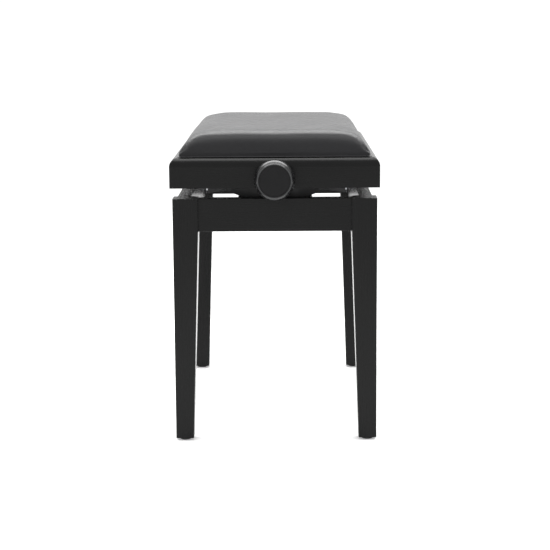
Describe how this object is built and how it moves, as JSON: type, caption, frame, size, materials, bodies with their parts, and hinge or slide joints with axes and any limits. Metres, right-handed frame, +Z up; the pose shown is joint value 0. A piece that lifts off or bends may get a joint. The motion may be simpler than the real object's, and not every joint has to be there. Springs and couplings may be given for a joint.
{
  "type": "piano bench",
  "caption": "Height-adjustable piano bench: padded seat box on four tapered legs, raised by a scissor lift on a threaded spindle with a round knob at each end.",
  "frame": {"origin": "on the floor, under the middle of the seat", "axes": "+X to the front long side, +Y to the right-hand end along the bench, +Z up"},
  "size_m": [0.33, 0.6226, 0.499],
  "materials": {
    "black_lacquered_wood": "satin black lacquer",
    "raw_beech": "planed, unfinished",
    "black_stained_beech": "planed, stained black",
    "plywood": "sanded plywood",
    "black_painted_steel": "black powder coat",
    "zinc_plated_steel": "bright zinc plate",
    "brass": "turned",
    "white_nylon": "moulded",
    "black_plastic": "satin moulded",
    "black_fibre": "matt",
    "black_leatherette": "smooth satin leatherette"
  },
  "bodies": {
    "leg_frame": {"leg_front_left": "black_lacquered_wood", "leg_front_right": "black_lacquered_wood", "long_rail_front": "black_lacquered_wood", "leg_rear_left": "black_lacquered_wood", "leg_rear_right": "black_lacquered_wood", "long_rail_rear": "black_lacquered_wood", "short_rail_left": "black_lacquered_wood", "short_rail_right": "black_lacquered_wood", "frame_dowels": "raw_beech", "corner_brackets": "black_painted_steel", "corner_bracket_screws": "zinc_plated_steel", "hanger_bolts_and_nuts": "zinc_plated_steel", "foot_glides": "black_plastic", "glide_nails": "zinc_plated_steel", "lower_channel_front": "black_painted_steel", "lower_channel_rear": "black_painted_steel", "channel_end_screws": "zinc_plated_steel", "lower_pivot_rod": "zinc_plated_steel", "lower_pivot_clips": "zinc_plated_steel"},
    "outer_arms": {"outer_arm_front": "black_painted_steel", "outer_arm_rear": "black_painted_steel", "outer_arm_tie": "black_painted_steel", "centre_pivot_bolts_and_nuts": "zinc_plated_steel"},
    "inner_arms": {"inner_arm_front": "black_painted_steel", "inner_arm_rear": "black_painted_steel", "inner_arm_tie": "black_painted_steel", "lower_slide_rod": "zinc_plated_steel", "lower_rollers": "white_nylon", "lower_slide_clips": "zinc_plated_steel"},
    "crossbar": {"spindle_crossbar": "black_painted_steel", "spindle_nut": "brass", "upper_rollers": "white_nylon", "upper_roller_clips": "zinc_plated_steel"},
    "seat": {"box_side_front": "black_lacquered_wood", "upper_channel_front": "black_painted_steel", "box_side_rear": "black_lacquered_wood", "upper_channel_rear": "black_painted_steel", "box_end_left": "black_lacquered_wood", "bearing_plate_left": "black_painted_steel", "box_end_right": "black_lacquered_wood", "bearing_plate_right": "black_painted_steel", "corner_blocks": "black_stained_beech", "seat_board_cleats": "black_stained_beech", "seat_board": "plywood", "lift_screws": "zinc_plated_steel", "upper_pivot_bolts_and_nuts": "zinc_plated_steel", "spindle_bushes": "white_nylon", "knob_washers": "black_fibre", "seat_board_screws": "zinc_plated_steel", "cushion_board": "plywood", "cushion": "black_leatherette"},
    "spindle": {"spindle": "zinc_plated_steel", "knob_left": "black_plastic", "knob_cap_left": "black_plastic", "knob_right": "black_plastic", "knob_cap_right": "black_plastic", "spindle_collars": "black_painted_steel", "collar_screws": "black_painted_steel", "knob_screws": "zinc_plated_steel"}
  },
  "joints": [
    {"name": "lift", "type": "hinge", "parent": "leg_frame", "child": "outer_arms", "pos_m": [0, -0.198, 0.371], "axis": [1, 0, 0], "range_deg": [0, 13.34]},
    {"name": "scissor_centre", "type": "hinge", "parent": "outer_arms", "child": "inner_arms", "pos_m": [0, 0, 0.39675], "axis": [1, 0, 0], "range_deg": [-27.19, 0.5]},
    {"name": "seat_pivot", "type": "hinge", "parent": "inner_arms", "child": "seat", "pos_m": [0, -0.198, 0.4225], "axis": [1, 0, 0], "range_deg": [-0.5, 13.84]},
    {"name": "crossbar_pivot", "type": "hinge", "parent": "outer_arms", "child": "crossbar", "pos_m": [0, 0.198, 0.4225], "axis": [1, 0, 0], "range_deg": [-13.84, 0.5]},
    {"name": "spindle_turn", "type": "hinge", "parent": "seat", "child": "spindle", "pos_m": [0, 0, 0.4225], "axis": [0, 1, 0], "range_deg": [-20, 2730]}
  ],
  "couplings": [
    {"joint": "scissor_centre", "follows": "lift", "ratio": -2},
    {"joint": "seat_pivot", "follows": "lift", "ratio": 1},
    {"joint": "crossbar_pivot", "follows": "lift", "ratio": -1},
    {"joint": "spindle_turn", "follows": "lift", "ratio": 203.03}
  ]
}
